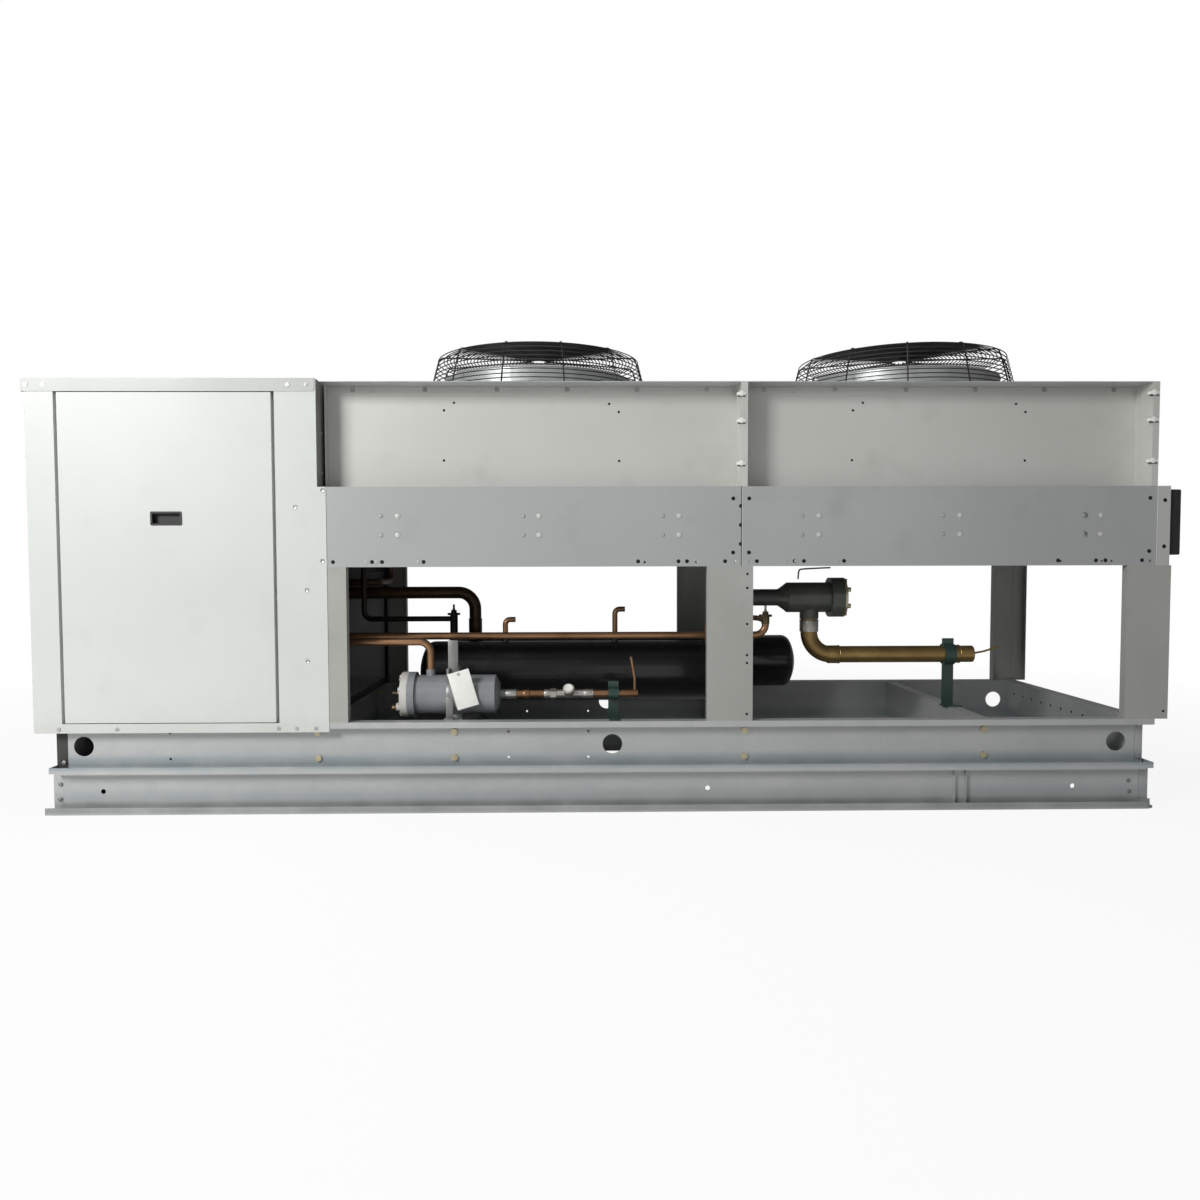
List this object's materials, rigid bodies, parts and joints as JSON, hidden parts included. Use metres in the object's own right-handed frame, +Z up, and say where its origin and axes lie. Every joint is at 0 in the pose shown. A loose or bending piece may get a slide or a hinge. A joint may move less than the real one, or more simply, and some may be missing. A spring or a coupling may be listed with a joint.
{
  "type": "refrigeration condensing unit",
  "caption": "Air-cooled refrigeration condensing unit on a skid: folded steel cabinet, flat coil under guarded top fans, receiver, drier and pipes in open bays.",
  "frame": {"origin": "centre of the unit's footprint, at the underside of its skid", "axes": "+X along the unit away from the cabinet, +Y to the rear, +Z up"},
  "size_m": [4.203, 1.1306, 1.765],
  "materials": {
    "aged_copper": "brushed",
    "cabinet_paint": "satin powder coat",
    "module_sheet": "satin pre-painted sheet",
    "galvanised_steel": "dull galvanised",
    "yellow_zinc": "yellow zinc plate",
    "screw_steel": "bright zinc",
    "vessel_black": "gloss paint",
    "black_pipe": "semi-gloss paint",
    "copper_tube": "drawn copper, lightly tarnished",
    "drier_grey": "satin paint",
    "flange_cream": "satin paint",
    "filter_green": "satin paint",
    "valve_body": "forged brass",
    "valve_steel": "plain",
    "clamp_green": "satin paint",
    "black_plastic": "matte",
    "guard_wire": "coated wire",
    "fan_blade": "dark mill finish",
    "motor_paint": "satin paint",
    "collar_sheet": "galvanised",
    "fin_stock": "plain fins",
    "compressor_paint": "satin paint",
    "tag_card": "blank card"
  },
  "bodies": {
    "unit": {"cabinet_front_frame": "cabinet_paint", "cabinet_left_side": "cabinet_paint", "cabinet_rear_panel": "cabinet_paint", "cabinet_right_wall": "galvanised_steel", "cabinet_lid": "cabinet_paint", "cabinet_floor_pan": "galvanised_steel", "cabinet_screws": "screw_steel", "base_rail_front": "galvanised_steel", "base_rail_rear": "galvanised_steel", "base_end_left": "galvanised_steel", "base_end_right": "galvanised_steel", "base_cross_members": "galvanised_steel", "base_bolts": "yellow_zinc", "skid_rail_front": "galvanised_steel", "skid_rail_rear": "galvanised_steel", "skid_ties": "galvanised_steel", "leg_front_left": "module_sheet", "leg_front_middle": "module_sheet", "leg_front_right": "module_sheet", "legs_rear": "module_sheet", "coil_casing_front": "module_sheet", "coil_casing_rear": "module_sheet", "coil_end_plates": "module_sheet", "coil_fins": "fin_stock", "coil_headers": "copper_tube", "coil_end_cover": "black_plastic", "plenum_panels": "module_sheet", "plenum_bulkheads": "module_sheet", "fan_decks": "collar_sheet", "fan_motors": "motor_paint", "motor_mounts": "galvanised_steel", "fan_guards": "guard_wire", "compressor_body": "compressor_paint", "compressor_heads": "compressor_paint", "compressor_mounts": "valve_steel", "control_box": "galvanised_steel", "receiver_tank": "vessel_black", "suction_accumulator": "vessel_black", "vessel_saddles": "vessel_black", "filter_drier": "drier_grey", "drier_cover": "flange_cream", "liquid_return_line": "copper_tube", "liquid_line": "copper_tube", "sight_glass": "valve_body", "receiver_lines": "copper_tube", "receiver_valves": "valve_body", "suction_inlet_line": "aged_copper", "suction_filter": "filter_green", "filter_cover": "yellow_zinc", "accumulator_inlet_line": "black_pipe", "suction_return_line": "black_pipe", "discharge_line": "copper_tube", "pipe_clamps": "clamp_green", "paper_tag": "tag_card"},
    "fan_1": {"fan_rotor_1": "fan_blade"},
    "fan_2": {"fan_rotor_2": "fan_blade"},
    "cabinet_door": {"access_panel": "cabinet_paint", "pull_handle": "black_plastic"},
    "inlet_stem": {"inlet_valve_stem": "valve_steel"},
    "outlet_stem": {"outlet_valve_stem": "valve_steel"}
  },
  "joints": [
    {"name": "fan_1_spin", "type": "hinge", "parent": "unit", "child": "fan_1", "pos_m": [-0.2805, 0, 1.623], "axis": [0, 0, 1], "continuous": true},
    {"name": "fan_2_spin", "type": "hinge", "parent": "unit", "child": "fan_2", "pos_m": [1.2435, 0, 1.623], "axis": [0, 0, 1], "continuous": true},
    {"name": "door_lift_off", "type": "slide", "parent": "unit", "child": "cabinet_door", "axis": [0, -1, 0], "range_m": [0, 0.15]},
    {"name": "inlet_stem_turn", "type": "hinge", "parent": "unit", "child": "inlet_stem", "pos_m": [-0.6355, -0.079, 0.71], "axis": [0, 0, 1], "range_deg": [0, 720]},
    {"name": "outlet_stem_turn", "type": "hinge", "parent": "unit", "child": "outlet_stem", "pos_m": [0.6305, -0.259, 0.71], "axis": [0, 0, 1], "range_deg": [0, 720]}
  ]
}
